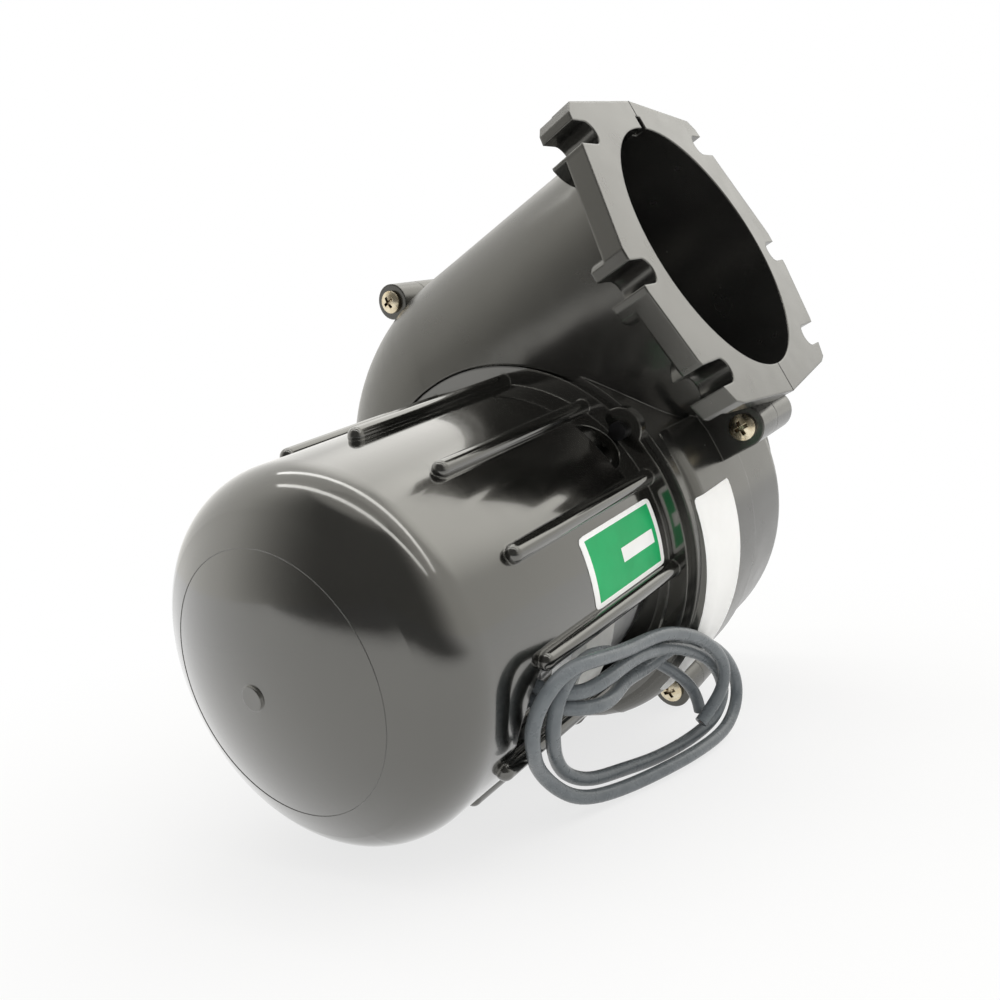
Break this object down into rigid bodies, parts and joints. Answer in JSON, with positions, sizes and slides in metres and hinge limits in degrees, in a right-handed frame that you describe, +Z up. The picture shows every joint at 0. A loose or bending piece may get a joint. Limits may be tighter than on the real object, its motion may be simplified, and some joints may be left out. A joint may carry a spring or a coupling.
{
  "type": "bilge blower",
  "caption": "Marine bilge blower: a two-half scroll with flanged round outlet and inlet collar, a ribbed domed motor cover, and a caged impeller on a small motor.",
  "frame": {"origin": "middle of the box that the blower fills as it lies, at the level of the surface it lies on, leads left out", "axes": "+Z up; +Y along the motor in plan, from the dome to the inlet; +X to the side that the outlet points to"},
  "size_m": [0.1846, 0.2506, 0.2172],
  "materials": {
    "cover_plastic": "glossy moulded black",
    "scroll_plastic": "satin moulded dark grey",
    "yellow_zinc": "yellow zinc plate",
    "dark_steel": "blackened",
    "bright_steel": "bright zinc plate",
    "cast_aluminium": "as cast",
    "rubber": "matt",
    "ferrite": "ground ferrite",
    "phenolic": "pressed board",
    "carbon": "pressed carbon",
    "copper": "copper",
    "lead_jacket": "grey cable jacket"
  },
  "bodies": {
    "housing": {"motor_cover": "cover_plastic", "cover_screws": "dark_steel", "scroll_motor_half": "scroll_plastic", "scroll_inlet_half": "scroll_plastic", "scroll_screws": "yellow_zinc", "motor_shell": "bright_steel", "motor_front_plate": "cast_aluminium", "motor_end_cap": "cover_plastic", "through_bolts": "bright_steel", "motor_screws": "bright_steel", "cushion_ring": "rubber", "field_magnets": "ferrite", "front_bearing": "bright_steel", "rear_bearing": "bright_steel", "brush_plate": "phenolic", "brushes": "carbon", "brush_springs": "copper", "lead_grommet": "rubber", "lead_positive": "lead_jacket", "lead_negative": "lead_jacket"},
    "rotor": {"motor_shaft": "bright_steel", "armature_core": "dark_steel", "armature_winding": "copper", "commutator": "copper", "shaft_slinger": "rubber", "impeller": "scroll_plastic", "impeller_nut": "bright_steel"}
  },
  "joints": [
    {"name": "rotor_spin", "type": "hinge", "parent": "housing", "child": "rotor", "pos_m": [0.00517, 0.04288, 0.07701], "axis": [0, 0.9857, 0.1685], "continuous": true}
  ]
}
